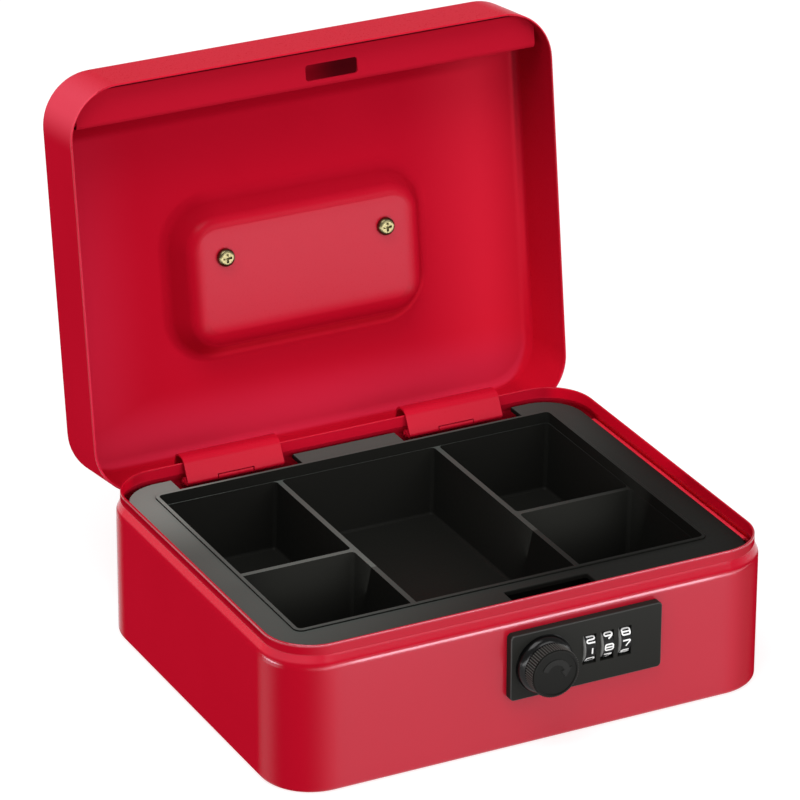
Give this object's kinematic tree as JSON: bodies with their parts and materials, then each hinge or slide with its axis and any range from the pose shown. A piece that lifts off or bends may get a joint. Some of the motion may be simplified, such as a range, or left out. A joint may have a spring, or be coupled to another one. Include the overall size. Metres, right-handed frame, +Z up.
{
  "type": "cash box",
  "caption": "Steel cash box with a hinged lid, dial lock with a turning knob and hook, folding top handle and a lift-out coin tray with compartments.",
  "frame": {"origin": "centre of the flat underside, on the surface it stands on", "axes": "+Z up, -Y toward the front with the lock, +X to the right seen from the front"},
  "size_m": [0.2, 0.2208, 0.2049],
  "materials": {
    "red_paint": "satin powder coat with a fine texture",
    "tray_plastic": "moulded, glossy",
    "plate_black": "moulded, fine matte",
    "knob_black": "moulded, satin",
    "dial_black": "moulded, satin, with white numbers",
    "case_black": "moulded",
    "ring_brass": "turned",
    "zinc_steel": "bright zinc plate",
    "yellow_zinc": "yellow zinc plate",
    "handle_chrome": "nickel plate"
  },
  "bodies": {
    "base": {"body_shell": "red_paint", "tray_ledge_left": "red_paint", "tray_ledge_right": "red_paint", "hinge_leaf_left": "red_paint", "hinge_leaf_right": "red_paint", "hinge_pin_left": "red_paint", "hinge_pin_right": "red_paint", "lock_plate": "plate_black", "lock_case": "case_black", "lock_cover": "zinc_steel", "lock_screw_low": "yellow_zinc", "lock_screw_high": "yellow_zinc", "detent_spring": "zinc_steel"},
    "lid": {"lid_shell": "red_paint", "strike_strip": "red_paint", "hinge_strap_left": "red_paint", "hinge_strap_right": "red_paint", "handle_bracket_left": "handle_chrome", "handle_bracket_right": "handle_chrome", "handle_screw_left": "yellow_zinc", "handle_screw_right": "yellow_zinc"},
    "handle": {"handle_bail": "handle_chrome"},
    "knob": {"lock_knob": "knob_black", "knob_spindle": "zinc_steel", "knob_eccentric": "zinc_steel", "hook_cam": "zinc_steel", "spindle_nut": "zinc_steel"},
    "code_bar": {"code_shaft": "zinc_steel"},
    "dial_1": {"number_ring_1": "dial_black", "code_ring_1": "ring_brass"},
    "dial_2": {"number_ring_2": "dial_black", "code_ring_2": "ring_brass"},
    "dial_3": {"number_ring_3": "dial_black", "code_ring_3": "ring_brass"},
    "tray": {"coin_tray": "tray_plastic"}
  },
  "joints": [
    {"name": "lid_hinge", "type": "hinge", "parent": "base", "child": "lid", "pos_m": [0, 0.0766, 0.051], "axis": [1, 0, 0], "range_deg": [0, 97.4]},
    {"name": "handle_fold", "type": "hinge", "parent": "lid", "child": "handle", "pos_m": [0, 0.11399, 0.12339], "axis": [1, 0, 0], "range_deg": [-7.4, 82.6]},
    {"name": "knob_turn", "type": "hinge", "parent": "base", "child": "knob", "pos_m": [0.0014, -0.0825, 0.0334], "axis": [0, -1, 0], "range_deg": [0, 90]},
    {"name": "code_slide", "type": "slide", "parent": "base", "child": "code_bar", "axis": [-1, 0, 0], "range_m": [0, 0.0026]},
    {"name": "dial_1_spin", "type": "hinge", "parent": "base", "child": "dial_1", "pos_m": [0.0199, -0.07635, 0.0347], "axis": [1, 0, 0], "continuous": true},
    {"name": "dial_2_spin", "type": "hinge", "parent": "base", "child": "dial_2", "pos_m": [0.0271, -0.07635, 0.0347], "axis": [1, 0, 0], "continuous": true},
    {"name": "dial_3_spin", "type": "hinge", "parent": "base", "child": "dial_3", "pos_m": [0.0343, -0.07635, 0.0347], "axis": [1, 0, 0], "continuous": true},
    {"name": "tray_lift", "type": "slide", "parent": "base", "child": "tray", "axis": [0, 0, -1], "range_m": [-0.075, 0]}
  ],
  "couplings": [
    {"joint": "code_slide", "follows": "knob_turn", "m_per_rad": 0.0016547}
  ]
}
